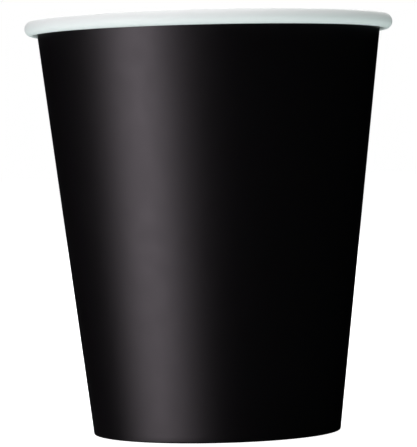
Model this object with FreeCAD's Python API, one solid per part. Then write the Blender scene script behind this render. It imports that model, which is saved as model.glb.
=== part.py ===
"""A tapered paper drinking cup with a rolled rim, in millimetres.

It is made of two pieces of coated board. The side wall is a fan-shaped blank wrapped into a cone:
its edges lap over each other in one glued side seam, its top is rolled outwards into the rim, and
its foot is folded in and up to make the hem. The bottom is a disc with a skirt turned down all
round, and the skirt is sealed between the wall and the hem.

The cup stands on its hem at z = 0, with its axis on Z and its side seam towards +Y.
"""
import FreeCAD, Part
import math
import os

# The cup as a whole
height = 90.0
rim_diameter = 80.0
foot_diameter = 53.8
board = 0.3

# The rolled rim: an oval, and the tighter turn that tucks its edge inside
roll_width = 2.86
roll_height = 3.16
tuck_radius = 1.13
tuck_turn = 120.0

# The foot of the wall, folded round the skirt
fold_radius = 0.06
hem_height = 5.0

# The bottom piece
recess_depth = 6.2
shoulder_radius = 0.8
skirt_clearance = 0.5
seal_gap = 0.02

# The side seam: the outer lap, and the step inside where the wall climbs over its inner edge
lap_angle = 11.0
ramp_angle = 4.0
press_length = 3.0
lap_foot_height = 0.8
lap_tuck = 0.65
step_clearance = 0.5
step_reach = 0.6
ramp_edge = 0.01
seam_direction = 90.0

AXIS = FreeCAD.Vector(0, 0, 1)
ORIGIN = FreeCAD.Vector(0, 0, 0)
OVAL_SPLIT = 45.0


def point(r, z):
    """A point of the half section, at radius r and height z."""
    return FreeCAD.Vector(r, 0, z)


def roll_oval():
    """The centre of the rim's oval, the radius of its sides and the radius of its top and bottom."""
    half_width = roll_width / 2
    half_height = roll_height / 2
    split = math.sin(math.radians(OVAL_SPLIT))
    difference = (half_height - half_width) / (2 * split - 1)
    side = (half_width + half_height + difference) / 2
    crown = side - difference
    return rim_diameter / 2 - half_width, height - half_height, side, crown


def wall_slope():
    """How far the wall leans out from upright, so that it runs straight from the foot into the roll."""
    centre_r, centre_z, side, _ = roll_oval()
    along_r = centre_r - roll_width / 2 + side - foot_diameter / 2
    reach = math.hypot(along_r, centre_z)
    return math.acos((side - board) / reach) - math.atan2(centre_z, along_r)


LEAN = wall_slope()
LEAN_DEGREES = math.degrees(LEAN)


def on_wall(z, outwards):
    """The point at height z on the line that runs along the wall, outwards from its printed face."""
    return point(foot_diameter / 2 + z * math.tan(LEAN) + outwards / math.cos(LEAN), z)


class BoardPath:
    """Follows the coated face of a piece of board. The other face is one board to its right."""

    def __init__(self, start, heading):
        self.place = start
        self.heading = math.radians(heading)
        self.coated = []
        self.other = []

    def towards(self):
        return point(math.cos(self.heading), math.sin(self.heading))

    def right(self):
        return point(math.sin(self.heading), -math.cos(self.heading))

    def straight(self, length):
        end = self.place + self.towards() * length
        offset = self.right() * board
        self.coated.append(Part.makeLine(self.place, end))
        self.other.append(Part.makeLine(self.place + offset, end + offset))
        self.place = end

    def bend(self, radius, degrees):
        """Turns left by so many degrees, or right where they are negative."""
        side = math.copysign(1.0, degrees)
        centre = self.place - self.right() * radius * side
        faces = [[], []]
        for step in range(3):
            spoke = self.right() * side
            faces[0].append(centre + spoke * radius)
            faces[1].append(centre + spoke * (radius + board * side))
            if step < 2:
                self.heading += math.radians(degrees) / 2
        self.coated.append(Part.Arc(*faces[0]).toShape())
        self.other.append(Part.Arc(*faces[1]).toShape())
        self.place = faces[0][2]

    def section(self):
        """The closed outline of the board, as a face."""
        first = Part.makeLine(self.coated[0].firstVertex().Point, self.other[0].firstVertex().Point)
        last = Part.makeLine(self.coated[-1].lastVertex().Point, self.other[-1].lastVertex().Point)
        edges = self.coated + [last] + self.other + [first]
        return Part.Face(Part.Wire(Part.sortEdges(edges)[0]))


def wall_path():
    """The side wall's board, from the hem's free edge down round the fold, up and over the rim."""
    _, _, side, crown = roll_oval()
    skirt_room = board + 2 * seal_gap
    pressed_flat = skirt_room - 2 * fold_radius
    fold_height = board + fold_radius
    outer_fold = on_wall(fold_height, -board - fold_radius)
    inner_fold = outer_fold - point(pressed_flat, 0)
    hem_foot = inner_fold + point(-math.cos(LEAN), math.sin(LEAN)) * fold_radius
    hem_length = (hem_height - hem_foot.z) / math.cos(LEAN)
    wall_foot = outer_fold + point(math.cos(LEAN), -math.sin(LEAN)) * fold_radius
    roll_start_z = roll_oval()[1] + side * math.sin(LEAN)
    wall_length = (roll_start_z - wall_foot.z) / math.cos(LEAN)

    path = BoardPath(hem_foot + point(math.sin(LEAN), math.cos(LEAN)) * hem_length, 270 - LEAN_DEGREES)
    path.straight(hem_length)
    path.bend(fold_radius, 90 + LEAN_DEGREES)
    path.straight(pressed_flat)
    path.bend(fold_radius, 90 - LEAN_DEGREES)
    path.straight(wall_length)
    path.bend(side, -(OVAL_SPLIT - LEAN_DEGREES))
    path.bend(crown, -(180 - 2 * OVAL_SPLIT))
    path.bend(side, -2 * OVAL_SPLIT)
    path.bend(crown, -OVAL_SPLIT)
    path.bend(tuck_radius, -tuck_turn)
    return path


def bottom_path():
    """The bottom piece's board, from its centre out over the shoulder and down the skirt."""
    top_z = recess_depth + board
    shoulder = on_wall(top_z - shoulder_radius, -board - seal_gap - shoulder_radius)
    skirt_foot_z = board + skirt_clearance
    skirt_top_z = shoulder.z - shoulder_radius * math.sin(LEAN)
    path = BoardPath(point(0, top_z), 0)
    path.straight(shoulder.x)
    path.bend(shoulder_radius, -(90 + LEAN_DEGREES))
    path.straight((skirt_top_z - skirt_foot_z) / math.cos(LEAN))
    return path


def turned(section, start=0.0, sweep=360.0):
    """The solid that a section makes as it turns about the cup's axis."""
    placed = section.copy()
    placed.rotate(ORIGIN, AXIS, seam_direction + start)
    return placed.revolve(ORIGIN, AXIS, sweep)


def outline(points):
    return Part.makePolygon(points + points[:1])


def between(first, first_angle, last, last_angle):
    """The solid that runs straight from one outline to another, each turned to its own angle."""
    placed = []
    for points, angle in ((first, first_angle), (last, last_angle)):
        wire = outline(points)
        wire.rotate(ORIGIN, AXIS, seam_direction + angle)
        placed.append(wire)
    return Part.makeLoft(placed, True, True)


def lap_outline(rise):
    """The outer lap's section, standing out from the wall by rise and pressed flat at the foot."""
    lap_top = height - roll_height + lap_tuck
    root = -board / 2
    return [
        on_wall(lap_foot_height, root),
        on_wall(lap_top, root),
        on_wall(lap_top, rise),
        on_wall(lap_foot_height + press_length, rise),
        on_wall(lap_foot_height, 0),
    ]


def step_outline(depth):
    """The space inside the cup where the wall climbs over its own inner edge, depth deep."""
    low = recess_depth + board + step_clearance
    high = height - roll_height - step_clearance
    clear = -board - step_reach
    return [
        on_wall(low, clear),
        on_wall(high, clear),
        on_wall(high, -board),
        on_wall(high - press_length, -board + depth),
        on_wall(low + press_length, -board + depth),
        on_wall(low, -board),
    ]


def side_wall():
    """The wrapped, lapped, rolled and folded wall, as the one piece that the sealing makes of it."""
    wall = turned(wall_path().section())
    lap = turned(Part.Face(outline(lap_outline(board))), 0, lap_angle)
    ramp = between(lap_outline(ramp_edge), -ramp_angle, lap_outline(board), 0)
    step = between(step_outline(ramp_edge), -ramp_angle, step_outline(board), 0)
    return wall.fuse([lap, ramp]).cut(step).removeSplitter()


def bottom():
    return turned(bottom_path().section())


def export(name, shape):
    """Writes one piece, and prints what a reader wants to check."""
    solid = shape.Solids[0] if len(shape.Solids) == 1 else shape
    solid.exportStep(os.path.join("parts", name + ".step"))
    box = solid.optimalBoundingBox(False)
    print(name, "solids", len(shape.Solids), "valid", shape.isValid(), "volume", round(shape.Volume, 1),
          "x", round(box.XMin, 3), round(box.XMax, 3), "z", round(box.ZMin, 3), round(box.ZMax, 3))


os.makedirs("parts", exist_ok=True)
export("side_wall", side_wall())
export("bottom", bottom())
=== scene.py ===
"""The looks of a tapered paper cup with a rolled rim, in metres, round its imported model.

The side wall is one sheet of board, wrapped until its edges lap, so it is made that way: Geometry
Nodes carry the wall's half section round the axis, and give the sheet its thickness, its lap and
the knurling of its hem. The bottom is a second sheet, made in the same way, with the creases that
its skirt gets as it is turned down. The board is printed black outside and coated white inside, and
it shows bare fibres underneath and at its cut edges.
"""
import math

import bpy
from mathutils import Matrix, Vector


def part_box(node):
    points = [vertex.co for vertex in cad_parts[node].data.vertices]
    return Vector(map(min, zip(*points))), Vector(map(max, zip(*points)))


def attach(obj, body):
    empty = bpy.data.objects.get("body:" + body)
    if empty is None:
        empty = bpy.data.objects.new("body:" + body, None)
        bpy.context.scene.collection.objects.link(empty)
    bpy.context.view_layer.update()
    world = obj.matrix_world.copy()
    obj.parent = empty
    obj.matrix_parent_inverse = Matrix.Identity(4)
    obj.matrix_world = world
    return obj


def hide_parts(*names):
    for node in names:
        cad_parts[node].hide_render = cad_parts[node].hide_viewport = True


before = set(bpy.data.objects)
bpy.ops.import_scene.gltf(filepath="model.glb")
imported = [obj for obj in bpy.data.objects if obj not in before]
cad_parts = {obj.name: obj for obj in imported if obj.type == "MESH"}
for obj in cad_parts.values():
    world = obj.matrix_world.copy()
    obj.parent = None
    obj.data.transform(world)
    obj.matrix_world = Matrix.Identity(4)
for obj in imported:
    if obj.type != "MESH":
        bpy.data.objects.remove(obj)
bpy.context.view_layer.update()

MM = 0.001

# The board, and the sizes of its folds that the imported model's boxes don't give
BOARD = 0.3 * MM
FOOT_RADIUS = 26.9 * MM
ROLL_WIDTH = 2.86 * MM
ROLL_HEIGHT = 3.16 * MM
OVAL_SPLIT = 45.0
TUCK_RADIUS = 1.13 * MM
TUCK_TURN = 120.0
FOLD_RADIUS = 0.06 * MM
HEM_HEIGHT = 5.0 * MM
SEAL_GAP = 0.02 * MM
SHOULDER_RADIUS = 0.8 * MM

# The side seam
LAP_ANGLE = 11.0
RAMP_ANGLE = 4.0
SEAM_DIRECTION = 90.0
PRESS_LENGTH = 3.0 * MM
PRESSED_SHARE = 0.5
GLUE_LAYER = 0.01 * MM

# The knurling that seals the hem, and the creases in the bottom's shoulder and skirt
KNURL_COUNT = 120
KNURL_DEPTH = 0.06 * MM
KNURL_MARGIN = 0.7 * MM
CREASE_COUNT = 90
CREASE_DEPTH = 0.05 * MM
CREASE_SHARPNESS = 2.0

# How finely the sheets are divided, and the angle above which an edge looks sharp
COLUMNS = 495
DEGREES_PER_ROW = 7.5
WALL_ROWS = 16
PRESSED_ROWS = 3
HEM_ROWS = 6
BOTTOM_COLUMNS = 361
DISC_ROWS = 12
SKIRT_ROWS = 3
MERGE_DISTANCE = 0.001 * MM
SHARP_ANGLE = math.radians(40)

# The noise in the board's faces, whose values lie mostly between the low one and the high one
NOISE_LOW = 0.3
NOISE_HIGH = 0.7
PATCH_DETAIL = 3.0
FIBRE_DETAIL = 4.0
FIBRE_ROUGHNESS = 0.6

# The photograph's camera: where it stands, how it is turned in radians, and its lens
CAMERA_DISTANCE = 600.7 * MM
CAMERA_HEIGHT = 58.9 * MM
CAMERA_TURN = -0.00158
CAMERA_TILT = -0.02256
CAMERA_ROLL = -0.02275
PICTURE_HEIGHT = 447
FOCAL_PIXELS = 2754.3

WHITE = "FFFFFF"

# The floor: its size, its paper, its cool glow as of a light table, and how white the camera sees it
FLOOR_SIZE = 20.0
FLOOR_COLOUR = "F0F0F0"
GLOW_COLOUR = "BEFFF6"
FLOOR_GLOW = 0.27
FLOOR_WHITE = 0.88

# The light from all round, and how white the camera sees the backdrop
AMBIENT = 0.15
BACKDROP_WHITE = 1.0

# The lamps: their sizes, and how far they stand from the cup's axis
WIDE_BOX = (1.0, 0.6)
SQUARE_BOX = (1.0, 1.0)
LAMP_DISTANCE = 1.2

# The curved cards that the cup mirrors: how far away they stand, how finely they are divided, how many
# spreads they reach to each side, and how their light narrows, brightens and leans upwards
CARD_DISTANCE = 0.5
CARD_ROWS = 12
CARD_COLUMNS = 48
CARD_REACH = 3.0
CARD_NARROWING = 0.97
CARD_BRIGHTENING = 0.98
CARD_LEAN = 6.2

_, wall_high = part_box("side_wall")
bottom_low, bottom_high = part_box("bottom")
rim_radius = wall_high.x
height = wall_high.z


def linear(hex_colour):
    """The linear colour of an sRGB hex value such as 1A2B3C."""
    parts = [int(hex_colour[i:i + 2], 16) / 255 for i in (0, 2, 4)]
    curved = [p / 12.92 if p <= 0.04045 else ((p + 0.055) / 1.055) ** 2.4 for p in parts]
    return (*curved, 1.0)


def add(tree, kind, inputs=None, **settings):
    """Adds a node, sets its properties, and gives its inputs values or links them to sockets."""
    node = tree.nodes.new(kind)
    for name, value in settings.items():
        setattr(node, name, value)
    for key, value in (inputs or {}).items():
        socket = node.inputs[key]
        if isinstance(value, bpy.types.NodeSocket):
            tree.links.new(value, socket)
        else:
            socket.default_value = value
    return node


# The half sections of the two pieces

class BoardPath:
    """Follows the coated face of the board in the half section, and keeps points along it.

    Each point has its place, the direction through the board to its other face, and the length of
    board up to it.
    """

    def __init__(self, start, heading):
        self.place = Vector(start)
        self.heading = math.radians(heading)
        self.length = 0.0
        self.points = []
        self.keep()

    def through(self):
        return Vector((math.sin(self.heading), -math.cos(self.heading)))

    def keep(self):
        self.points.append((self.place.copy(), self.through(), self.length))

    def straight(self, length, steps=1):
        towards = Vector((math.cos(self.heading), math.sin(self.heading)))
        for _ in range(steps):
            self.place += towards * length / steps
            self.length += length / steps
            self.keep()

    def bend(self, radius, degrees, degrees_per_row=DEGREES_PER_ROW):
        """Turns left by so many degrees, or right where they are negative."""
        side = math.copysign(1.0, degrees)
        centre = self.place - self.through() * radius * side
        steps = max(2, math.ceil(abs(degrees) / degrees_per_row))
        for _ in range(steps):
            self.heading += math.radians(degrees) / steps
            self.place = centre + self.through() * radius * side
            self.length += radius * abs(math.radians(degrees)) / steps
            self.keep()


def roll_radii():
    """The radius of the roll's sides, and of its top and bottom."""
    half_width = ROLL_WIDTH / 2
    half_height = ROLL_HEIGHT / 2
    difference = (half_height - half_width) / (2 * math.sin(math.radians(OVAL_SPLIT)) - 1)
    side = (half_width + half_height + difference) / 2
    return side, side - difference


def wall_lean():
    """How far the wall leans out from upright, so that it runs straight from the foot into the roll."""
    side, _ = roll_radii()
    centre_z = height - ROLL_HEIGHT / 2
    along = rim_radius - ROLL_WIDTH + side - FOOT_RADIUS
    reach = math.hypot(along, centre_z)
    return math.acos((side - BOARD) / reach) - math.atan2(centre_z, along)


def on_wall(z, outwards):
    """The radius and height of the point at height z, outwards from the wall's printed face."""
    lean = wall_lean()
    return Vector((FOOT_RADIUS + z * math.tan(lean) + outwards / math.cos(lean), z))


def wall_path():
    """The side wall's coated face, and the length of its hem.

    It runs from the hem's free edge down and round the fold, and up and over the rim.
    """
    side, crown = roll_radii()
    lean = wall_lean()
    lean_degrees = math.degrees(lean)
    pressed_flat = BOARD + 2 * SEAL_GAP - 2 * FOLD_RADIUS
    outer_fold = on_wall(BOARD + FOLD_RADIUS, -BOARD - FOLD_RADIUS)
    inner_fold = outer_fold - Vector((pressed_flat, 0))
    hem_foot = inner_fold + Vector((-math.cos(lean), math.sin(lean))) * FOLD_RADIUS
    hem_length = (HEM_HEIGHT - hem_foot.y) / math.cos(lean)
    wall_foot = outer_fold + Vector((math.cos(lean), -math.sin(lean))) * FOLD_RADIUS
    roll_start_z = height - ROLL_HEIGHT / 2 + side * math.sin(lean)
    wall_length = (roll_start_z - wall_foot.y) / math.cos(lean)

    hem_edge = hem_foot + Vector((math.sin(lean), math.cos(lean))) * hem_length
    pressed_length = PRESS_LENGTH / math.cos(lean)
    path = BoardPath(hem_edge, 270 - lean_degrees)
    path.straight(hem_length, HEM_ROWS)
    path.bend(FOLD_RADIUS, 90 + lean_degrees, 2 * DEGREES_PER_ROW)
    path.straight(pressed_flat)
    path.bend(FOLD_RADIUS, 90 - lean_degrees, 2 * DEGREES_PER_ROW)
    path.straight(pressed_length, PRESSED_ROWS)
    path.straight(wall_length - 2 * pressed_length, WALL_ROWS)
    path.straight(pressed_length, PRESSED_ROWS)
    path.bend(side, -(OVAL_SPLIT - lean_degrees))
    path.bend(crown, -(180 - 2 * OVAL_SPLIT))
    path.bend(side, -2 * OVAL_SPLIT)
    path.bend(crown, -OVAL_SPLIT)
    path.bend(TUCK_RADIUS, -TUCK_TURN)
    return path, hem_length


def pressed_at(place, through):
    """How flat the seam is pressed at a point: fully on the hem, the fold and the roll."""
    roll_foot = height - ROLL_HEIGHT
    if through.x < 0 or place.y > roll_foot:
        return 1.0
    from_foot = max(0.0, place.y - HEM_HEIGHT / 2) / PRESS_LENGTH
    from_roll = (roll_foot - place.y) / PRESS_LENGTH
    return 1.0 - min(1.0, from_foot, from_roll)


def bottom_path():
    """The bottom's coated face, from its middle out over the shoulder and down the skirt."""
    lean = wall_lean()
    shoulder = on_wall(bottom_high.z - SHOULDER_RADIUS, -BOARD - SEAL_GAP - SHOULDER_RADIUS)
    skirt_top = shoulder.y - SHOULDER_RADIUS * math.sin(lean)
    path = BoardPath((0.0, bottom_high.z), 0.0)
    path.straight(shoulder.x, DISC_ROWS)
    path.bend(SHOULDER_RADIUS, -(90 + math.degrees(lean)))
    path.straight((skirt_top - bottom_low.z) / math.cos(lean), SKIRT_ROWS)
    return path


def section_object(name, path, **numbers):
    """A half section as a row of points, with what its tree reads at each point as attributes."""
    mesh = bpy.data.meshes.new(name)
    mesh.from_pydata([(place.x, 0.0, place.y) for place, _, _ in path.points], [], [])
    through = mesh.attributes.new("through", "FLOAT_VECTOR", "POINT")
    for item, (_, direction, _) in zip(through.data, path.points):
        item.vector = (direction.x, 0.0, direction.y)
    for attribute_name, values in numbers.items():
        attribute = mesh.attributes.new(attribute_name, "FLOAT", "POINT")
        attribute.data.foreach_set("value", values)
    section = bpy.data.objects.new(name, mesh)
    bpy.context.scene.collection.objects.link(section)
    return section


# The trees that carry a section round the axis

class SheetTree:
    """A tree that carries a half section round the axis as one sheet, and gives it its thickness."""

    def __init__(self, name, numbers, counts):
        self.tree = bpy.data.node_groups.new(name, "GeometryNodeTree")
        sockets = self.tree.interface
        sockets.new_socket("Section", in_out="INPUT", socket_type="NodeSocketGeometry")
        for number in numbers:
            sockets.new_socket(number, in_out="INPUT", socket_type="NodeSocketFloat")
        for count in ("Columns", *counts):
            sockets.new_socket(count, in_out="INPUT", socket_type="NodeSocketInt")
        for face in ("Coated face", "Other face", "Cut edge"):
            sockets.new_socket(face, in_out="INPUT", socket_type="NodeSocketMaterial")
        sockets.new_socket("Piece", in_out="OUTPUT", socket_type="NodeSocketGeometry")
        self.given = self.add("NodeGroupInput").outputs

        # A flat grid: its columns go round the cup and its rows go along the section
        size = self.add("GeometryNodeAttributeDomainSize", {"Geometry": self.given["Section"]})
        rows = size.outputs["Point Count"]
        inputs = {"Vertices X": self.given["Columns"], "Vertices Y": rows}
        self.grid = self.add("GeometryNodeMeshGrid", inputs)
        index = self.add("GeometryNodeInputIndex").outputs[0]
        self.row = self.math("FLOORED_MODULO", index, rows)
        self.column = self.math("FLOOR", self.math("DIVIDE", index, rows))

    def add(self, kind, inputs=None, **settings):
        return add(self.tree, kind, inputs, **settings)

    def math(self, operation, *values):
        return self.add("ShaderNodeMath", dict(enumerate(values)), operation=operation).outputs[0]

    def eased(self, value, low, high, to_low, to_high):
        names = ("Value", "From Min", "From Max", "To Min", "To Max")
        inputs = dict(zip(names, (value, low, high, to_low, to_high)))
        return self.add("ShaderNodeMapRange", inputs, interpolation_type="SMOOTHSTEP").outputs[0]

    def at_row(self, field, kind="FLOAT"):
        inputs = {"Geometry": self.given["Section"], "Value": field, "Index": self.row}
        return self.add("GeometryNodeSampleIndex", inputs, data_type=kind).outputs[0]

    def attribute(self, name, kind="FLOAT"):
        field = self.add("GeometryNodeInputNamedAttribute", {"Name": name}, data_type=kind)
        return self.at_row(field.outputs[0], kind)

    def place(self):
        return self.at_row(self.add("GeometryNodeInputPosition").outputs[0], "FLOAT_VECTOR")

    def angle_of(self, whole):
        """The angle of each column, where the columns share the whole angle."""
        return self.math("DIVIDE", self.math("MULTIPLY", self.column, whole),
                         self.math("SUBTRACT", self.given["Columns"], 1.0))

    def turned(self, vector, angle):
        inputs = {"Vector": vector, "Angle": angle}
        return self.add("ShaderNodeVectorRotate", inputs, rotation_type="Z_AXIS").outputs[0]

    def scaled(self, vector, factor):
        inputs = {"Vector": vector, "Scale": factor}
        return self.add("ShaderNodeVectorMath", inputs, operation="SCALE").outputs[0]

    def moved(self, vector, by):
        return self.add("ShaderNodeVectorMath", {0: vector, 1: by}, operation="ADD").outputs[0]

    def painted(self, geometry, face, selection=None):
        inputs = {"Geometry": geometry, "Material": self.given[face]}
        if selection is not None:
            inputs["Selection"] = selection
        return self.add("GeometryNodeSetMaterial", inputs).outputs[0]

    def finished(self, face, through):
        """Ends the tree with the piece: the coated face is at face, and the other face through from it."""
        capture = self.add("GeometryNodeCaptureAttribute", {"Geometry": self.grid.outputs["Mesh"]})
        capture.capture_items.new("VECTOR", "through the board")
        self.tree.links.new(through, capture.inputs[1])
        placed = self.add("GeometryNodeSetPosition", {"Geometry": capture.outputs[0], "Position": face})
        inputs = {"Geometry": placed.outputs[0], "Distance": MERGE_DISTANCE}
        coated = self.add("GeometryNodeMergeByDistance", inputs)

        # The coated face is kept. Pushed through the board, it makes the other face and the cut edges too
        inputs = {"Mesh": coated.outputs[0], "Offset Scale": 0.0, "Individual": False}
        pushed = self.add("GeometryNodeExtrudeMesh", inputs)
        top, side = pushed.outputs["Top"], pushed.outputs["Side"]
        inputs = {"Geometry": pushed.outputs["Mesh"], "Selection": top, "Offset": capture.outputs[1]}
        other = self.add("GeometryNodeSetPosition", inputs)
        other_faces = self.painted(self.painted(other.outputs[0], "Other face", top), "Cut edge", side)
        flipped = self.add("GeometryNodeFlipFaces", {"Mesh": coated.outputs[0]})
        coated_faces = self.painted(flipped.outputs[0], "Coated face")
        joined = self.add("GeometryNodeJoinGeometry", {0: other_faces})
        self.tree.links.new(coated_faces, joined.inputs[0])
        inputs = {"Geometry": joined.outputs[0], "Distance": MERGE_DISTANCE}
        merged = self.add("GeometryNodeMergeByDistance", inputs)

        inputs = {"Geometry": merged.outputs[0], "Shade Smooth": True}
        smooth = self.add("GeometryNodeSetShadeSmooth", inputs)
        fold = self.add("GeometryNodeInputMeshEdgeAngle").outputs["Unsigned Angle"]
        sharp = self.math("GREATER_THAN", fold, SHARP_ANGLE)
        inputs = {"Geometry": smooth.outputs[0], "Selection": sharp, "Shade Smooth": False}
        crisp = self.add("GeometryNodeSetShadeSmooth", inputs, domain="EDGE")
        realized = self.add("GeometryNodeRealizeInstances", {"Geometry": crisp.outputs[0]})
        self.add("NodeGroupOutput", {"Piece": realized.outputs[0]})
        return self.tree


def wrapped_sheet():
    """The tree of the side wall: its sheet goes more than once round, so that its ends lap."""
    numbers = ("Board", "Lap", "Ramp", "Seam direction", "Pressed share", "Glue", "Knurl depth")
    sheet = SheetTree("wrapped_sheet", numbers, ("Knurls",))
    given, math_node = sheet.given, sheet.math
    through = sheet.attribute("through", "FLOAT_VECTOR")
    pressed = sheet.attribute("pressed")
    knurled = sheet.attribute("knurled")

    # The angle from the inner cut edge, and where the sheet lies under or over itself
    full_turn = math.tau
    angle = sheet.angle_of(math_node("ADD", full_turn, given["Lap"]))
    lap_end = math_node("ADD", given["Lap"], given["Ramp"])
    ramp_start = math_node("SUBTRACT", full_turn, given["Ramp"])
    under = sheet.eased(angle, given["Lap"], lap_end, 1.0, 0.0)
    over = sheet.eased(angle, ramp_start, full_turn, 0.0, 1.0)

    # Where the seam is pressed flat, each of its two layers is thinner
    squeeze = math_node("MULTIPLY", given["Pressed share"], pressed)
    lap = math_node("MAXIMUM", under, over)
    layer = math_node("MULTIPLY", given["Board"], math_node("SUBTRACT", 1.0, squeeze))
    lift = math_node("MULTIPLY", over, layer)
    share = math_node("SUBTRACT", 1.0, math_node("MULTIPLY", squeeze, lap))
    wave = math_node("COSINE", math_node("MULTIPLY", angle, given["Knurls"]))
    groove = math_node("MULTIPLY", math_node("MULTIPLY_ADD", wave, 0.5, 0.5), given["Knurl depth"])
    loss = math_node("MULTIPLY_ADD", groove, knurled, math_node("MULTIPLY", given["Glue"], under))
    thickness = math_node("SUBTRACT", math_node("MULTIPLY", given["Board"], share), loss)

    turn = math_node("ADD", angle, given["Seam direction"])
    coated_face = sheet.turned(sheet.moved(sheet.place(), sheet.scaled(through, lift)), turn)
    return sheet.finished(coated_face, sheet.turned(sheet.scaled(through, thickness), turn))


def creased_sheet():
    """The tree of the bottom: a disc whose skirt is gathered in small creases as it is turned down."""
    sheet = SheetTree("creased_sheet", ("Board", "Crease depth"), ("Creases",))
    given, math_node = sheet.given, sheet.math
    through = sheet.attribute("through", "FLOAT_VECTOR")
    creased = sheet.attribute("creased")
    angle = sheet.angle_of(math.tau)

    # A half wave from each crease to the next, which is zero in the crease
    half_creases = math_node("DIVIDE", given["Creases"], 2.0)
    wave = math_node("ABSOLUTE", math_node("SINE", math_node("MULTIPLY", angle, half_creases)))
    groove = math_node("POWER", math_node("SUBTRACT", 1.0, wave), CREASE_SHARPNESS)
    valley = math_node("MULTIPLY", groove, given["Crease depth"])

    # Both faces sink into the board by the same depth
    sunk = math_node("MULTIPLY", valley, creased)
    thickness = math_node("SUBTRACT", given["Board"], math_node("MULTIPLY", sunk, 2.0))
    coated_face = sheet.turned(sheet.moved(sheet.place(), sheet.scaled(through, sunk)), angle)
    return sheet.finished(coated_face, sheet.turned(sheet.scaled(through, thickness), angle))


def made_of(tree, section, name, values):
    """The piece that the tree makes of the section, as one plain mesh."""
    modifier = section.modifiers.new("sheet", "NODES")
    modifier.node_group = tree
    for item in tree.interface.items_tree:
        if item.name in values:
            modifier[item.identifier] = values[item.name]
    graph = bpy.context.evaluated_depsgraph_get()
    mesh = bpy.data.meshes.new_from_object(section.evaluated_get(graph))
    bpy.data.objects.remove(section)
    mesh.name = name

    # The new mesh comes with an empty slot before the three that the tree set
    if mesh.materials[0] is None:
        mesh.materials.pop(index=0)
    piece = bpy.data.objects.new(name, mesh)
    bpy.context.scene.collection.objects.link(piece)
    return piece


def wrapped_wall(faces):
    """The side wall, with its rolled rim, its lapped seam and its knurled hem."""
    path, hem_length = wall_path()
    pressed = [pressed_at(place, through) for place, through, _ in path.points]
    knurled = [max(0.0, min(1.0, length / KNURL_MARGIN, (hem_length - length) / KNURL_MARGIN))
               for _, _, length in path.points]
    values = {
        "Board": BOARD,
        "Lap": math.radians(LAP_ANGLE),
        "Ramp": math.radians(RAMP_ANGLE),
        "Seam direction": math.radians(SEAM_DIRECTION),
        "Pressed share": PRESSED_SHARE,
        "Glue": GLUE_LAYER,
        "Knurl depth": KNURL_DEPTH,
        "Columns": COLUMNS,
        "Knurls": KNURL_COUNT,
        **faces,
    }
    section = section_object("wall_section", path, pressed=pressed, knurled=knurled)
    return made_of(wrapped_sheet(), section, "wrapped_wall", values)


def creased_bottom(faces):
    """The bottom's disc and skirt, with the creases from its shoulder down."""
    path = bottom_path()
    flat_length = path.points[DISC_ROWS][2]
    creased = [max(0.0, min(1.0, (length - flat_length) / SHOULDER_RADIUS))
               for _, _, length in path.points]
    values = {
        "Board": BOARD,
        "Crease depth": CREASE_DEPTH,
        "Columns": BOTTOM_COLUMNS,
        "Creases": CREASE_COUNT,
        **faces,
    }
    section = section_object("bottom_section", path, creased=creased)
    return made_of(creased_sheet(), section, "creased_bottom", values)


# The finishes

def plain_material(name):
    """A material whose tree is still empty."""
    material = bpy.data.materials.new(name)
    material.use_nodes = True
    material.node_tree.nodes.clear()
    return material


def board_material(name, colour, other_colour, roughness, grain, grain_depth, mottle,
                   gloss_colour=WHITE):
    """A face of the board: two close colours and two roughnesses in patches, and a grain.

    The size of the patches is mottle, grain is the size of the fibres, and their relief is grain_depth.
    """
    material = plain_material(name)
    tree = material.node_tree
    here = add(tree, "ShaderNodeTexCoord").outputs["Object"]
    inputs = {"Vector": here, "Scale": 1 / mottle, "Detail": PATCH_DETAIL}
    patches = add(tree, "ShaderNodeTexNoise", inputs)

    # Inputs 6 and 7 of the mix are its two colours
    inputs = {0: patches.outputs[0], 6: linear(colour), 7: linear(other_colour)}
    tone = add(tree, "ShaderNodeMix", inputs, data_type="RGBA")
    low, high = roughness
    inputs = {
        "Value": patches.outputs[0],
        "From Min": NOISE_LOW,
        "From Max": NOISE_HIGH,
        "To Min": low,
        "To Max": high,
    }
    dullness = add(tree, "ShaderNodeMapRange", inputs)
    inputs = {"Vector": here, "Scale": 1 / grain, "Detail": FIBRE_DETAIL, "Roughness": FIBRE_ROUGHNESS}
    fibres = add(tree, "ShaderNodeTexNoise", inputs)
    inputs = {"Height": fibres.outputs[0], "Distance": grain_depth, "Strength": 1.0}
    bump = add(tree, "ShaderNodeBump", inputs)
    inputs = {
        "Base Color": tone.outputs[2],
        "Roughness": dullness.outputs[0],
        "Specular Tint": linear(gloss_colour),
        "Normal": bump.outputs[0],
    }
    shader = add(tree, "ShaderNodeBsdfPrincipled", inputs)
    add(tree, "ShaderNodeOutputMaterial", {"Surface": shader.outputs[0]})
    return material


# Paper fibres are about 0.02 mm thick. That is too fine to show, so each grain is drawn as coarse as it
# needs to show, and the smoother the real face is, the less deep

# Black ink under a matt varnish on smooth board: near black, with one wide soft highlight, which it
# tints very slightly towards magenta
black_print = board_material(
    "matt_black_print",
    colour="050405",
    other_colour="060506",
    roughness=(0.385, 0.415),
    grain=0.7 * MM,
    grain_depth=0.01 * MM,
    mottle=4 * MM,
    gloss_colour="FFF1FC",
)

# Bleached board under a film of polythene: cool white, with a soft sheen that is duller than the ink's
coated_board = board_material(
    "coated_board",
    colour="F0F1F0",
    other_colour="ECEEED",
    roughness=(0.44, 0.5),
    grain=0.8 * MM,
    grain_depth=0.008 * MM,
    mottle=5 * MM,
)

# The same board with no film on it: bleached fibres, duller and a little warmer
bare_board = board_material(
    "bare_board",
    colour="EDEBE4",
    other_colour="E4E1D9",
    roughness=(0.7, 0.85),
    grain=0.5 * MM,
    grain_depth=0.015 * MM,
    mottle=3 * MM,
)

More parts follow.
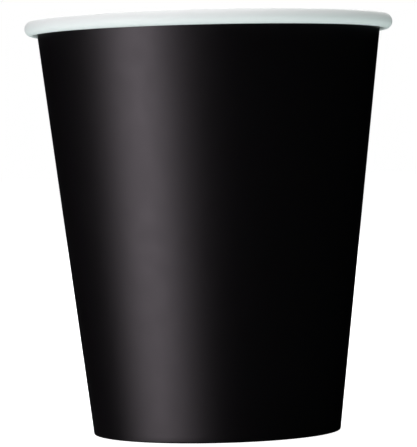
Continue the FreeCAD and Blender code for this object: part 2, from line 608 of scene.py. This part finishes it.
# The same board where it is cut: the middle of the board, dull and rough
cut_board = board_material(
    "cut_board",
    colour="DDD9D0",
    other_colour="CFCABF",
    roughness=(0.85, 0.95),
    grain=0.15 * MM,
    grain_depth=0.02 * MM,
    mottle=1 * MM,
)

wall = wrapped_wall({"Coated face": coated_board, "Other face": black_print, "Cut edge": cut_board})
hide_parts("side_wall")
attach(wall, "root")

bottom = creased_bottom({"Coated face": coated_board, "Other face": bare_board, "Cut edge": cut_board})
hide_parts("bottom")
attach(bottom, "root")


# The floor, the camera and the light

def seen_directly(tree):
    """1 for the rays of the camera, of reflections and of clear things, and 0 for all others."""
    path = add(tree, "ShaderNodeLightPath").outputs
    seen = path["Is Camera Ray"]
    for kind in ("Is Glossy Ray", "Is Transmission Ray"):
        seen = add(tree, "ShaderNodeMath", {0: seen, 1: path[kind]}, operation="MAXIMUM").outputs[0]
    return seen


def white_floor():
    """A white floor that stays white in the picture, apart from a trace of the cup's shadow."""
    mesh = bpy.data.meshes.new("floor")
    half = FLOOR_SIZE / 2
    corners = [(-half, -half, 0.0), (half, -half, 0.0), (half, half, 0.0), (-half, half, 0.0)]
    mesh.from_pydata(corners, [], [(0, 1, 2, 3)])
    floor = bpy.data.objects.new("floor", mesh)
    bpy.context.scene.collection.objects.link(floor)
    material = plain_material("floor_paper")
    tree = material.node_tree
    paper = add(tree, "ShaderNodeBsdfDiffuse", {"Color": linear(FLOOR_COLOUR)})
    glow = add(tree, "ShaderNodeEmission", {"Color": linear(GLOW_COLOUR), "Strength": FLOOR_GLOW})
    white = add(tree, "ShaderNodeEmission", {"Color": linear(WHITE), "Strength": FLOOR_WHITE})
    inputs = {0: seen_directly(tree), 1: glow.outputs[0], 2: white.outputs[0]}
    shown = add(tree, "ShaderNodeMixShader", inputs)
    both = add(tree, "ShaderNodeAddShader", {0: paper.outputs[0], 1: shown.outputs[0]})
    add(tree, "ShaderNodeOutputMaterial", {"Surface": both.outputs[0]})
    mesh.materials.append(material)

    # The cup mirrors the cards, which reach below the floor, so it doesn't mirror the floor
    floor.visible_glossy = False


def placed_round(azimuth, distance, centre_height, target_height):
    """The place at an azimuth left of the camera, and the turn that faces the cup's axis from there."""
    turn = math.radians(azimuth)
    place = Vector((-math.sin(turn) * distance, -math.cos(turn) * distance, centre_height))
    facing = Vector((0.0, 0.0, target_height)) - place
    return place, facing.to_track_quat("-Z", "Y").to_euler()


def softbox(name, size, watts, colour=WHITE):
    """A rectangular lamp, which faces down until it is turned, and isn't seen in the picture."""
    lamp = bpy.data.lights.new(name, "AREA")
    lamp.shape = "RECTANGLE"
    lamp.size, lamp.size_y = size
    lamp.energy = watts
    lamp.color = linear(colour)[:3]
    holder = bpy.data.objects.new(name, lamp)
    bpy.context.scene.collection.objects.link(holder)
    holder.visible_camera = False
    return holder


def mirrored_card(name, azimuth, spread, low, high, strength):
    """A curved card that the cup mirrors and that lights nothing. The floor doesn't hide it.

    The wall leans outwards, so it mirrors what is below it, and the card reaches below the floor. Its
    light fades to both sides as a bell curve does, and spread is that curve's standard deviation in
    degrees at half height. Upwards the curve narrows, brightens and leans to one side.
    """
    places, glows = [], []
    for row in range(CARD_ROWS + 1):
        share = row / CARD_ROWS
        width = spread * math.exp(CARD_NARROWING * (0.5 - share))
        peak = strength * math.exp(CARD_BRIGHTENING * (share - 0.5))
        middle = CARD_LEAN * (0.5 - share)
        for column in range(CARD_COLUMNS + 1):
            aside = CARD_REACH * spread * (2 * column / CARD_COLUMNS - 1)
            turn = math.radians(azimuth + aside)
            z = low + (high - low) * share
            places.append((-math.sin(turn) * CARD_DISTANCE, -math.cos(turn) * CARD_DISTANCE, z))
            glows.append(peak * math.exp(-((aside - middle) / width) ** 2 / 2))
    faces = []
    for row in range(CARD_ROWS):
        for column in range(CARD_COLUMNS):
            corner = row * (CARD_COLUMNS + 1) + column
            faces.append((corner, corner + 1, corner + CARD_COLUMNS + 2, corner + CARD_COLUMNS + 1))
    mesh = bpy.data.meshes.new(name)
    mesh.from_pydata(places, [], faces)
    mesh.attributes.new("glow", "FLOAT", "POINT").data.foreach_set("value", glows)
    card = bpy.data.objects.new(name, mesh)
    bpy.context.scene.collection.objects.link(card)
    material = plain_material(name)
    tree = material.node_tree
    glow = add(tree, "ShaderNodeAttribute", attribute_name="glow").outputs["Fac"]
    light = add(tree, "ShaderNodeEmission", {"Strength": glow})
    add(tree, "ShaderNodeOutputMaterial", {"Surface": light.outputs[0]})
    mesh.materials.append(material)

    # It isn't sampled as a lamp, and only reflections see it
    material.cycles.emission_sampling = "NONE"
    card.visible_camera = False
    card.visible_diffuse = False
    card.visible_transmission = False
    card.visible_volume_scatter = False
    card.visible_shadow = False


def daylight():
    """Even surroundings: white to the camera, and a soft light on the cup.

    The cup doesn't mirror them, as black cloth round a set keeps a white room out of black gloss.
    """
    world = bpy.data.worlds.new("surroundings")
    bpy.context.scene.world = world
    world.use_nodes = True
    tree = world.node_tree
    tree.nodes.clear()
    ambient = add(tree, "ShaderNodeBackground", {"Color": linear(WHITE), "Strength": AMBIENT})
    backdrop = add(tree, "ShaderNodeBackground", {"Color": linear(WHITE), "Strength": BACKDROP_WHITE})
    inputs = {0: seen_directly(tree), 1: ambient.outputs[0], 2: backdrop.outputs[0]}
    mixed = add(tree, "ShaderNodeMixShader", inputs)
    add(tree, "ShaderNodeOutputWorld", {"Surface": mixed.outputs[0]})
    world.cycles_visibility.glossy = False


def photograph_camera():
    """The camera that took the photograph, as the cup's outline gives it."""
    lens = bpy.data.cameras.new("camera")

    # The picture is taller than it is wide, so Blender fits the sensor's width to its height
    lens.lens = FOCAL_PIXELS / PICTURE_HEIGHT * lens.sensor_width
    camera = bpy.data.objects.new("camera", lens)
    bpy.context.scene.collection.objects.link(camera)
    level = math.cos(CAMERA_TILT)
    sideways = math.sin(CAMERA_TURN) * level
    ahead = math.cos(CAMERA_TURN) * level
    forward = Vector((sideways, ahead, math.sin(CAMERA_TILT)))
    turned = forward.to_track_quat("-Z", "Y").to_matrix() @ Matrix.Rotation(CAMERA_ROLL, 3, "Z")
    camera.location = (0.0, -CAMERA_DISTANCE, CAMERA_HEIGHT)
    camera.rotation_euler = turned.to_euler()
    bpy.context.scene.camera = camera


white_floor()
daylight()
photograph_camera()

# The key light stands low on the left. The side card stands in for its reflection
key = softbox("key", WIDE_BOX, watts=7.0, colour="FFF6FC")
key.location, key.rotation_euler = placed_round(
    azimuth=38.0, distance=LAMP_DISTANCE, centre_height=0.25, target_height=height)
key.visible_glossy = False

# One lamp hangs over the cup, and one stands behind it and lights its inside
top = softbox("top", SQUARE_BOX, watts=9.2)
top.location.z = LAMP_DISTANCE
behind = softbox("behind", WIDE_BOX, watts=8.0)
behind.location, behind.rotation_euler = placed_round(
    azimuth=180.0, distance=LAMP_DISTANCE, centre_height=0.9, target_height=height)

# The wide highlight of the front, and a fainter one for the back
mirrored_card("side_card", azimuth=48.6, spread=13.8, low=-0.2, high=0.1, strength=4.3)
mirrored_card("back_card", azimuth=166.0, spread=8.0, low=-0.4, high=-0.15, strength=2.4)
bpy.context.scene.view_settings.view_transform = "Standard"
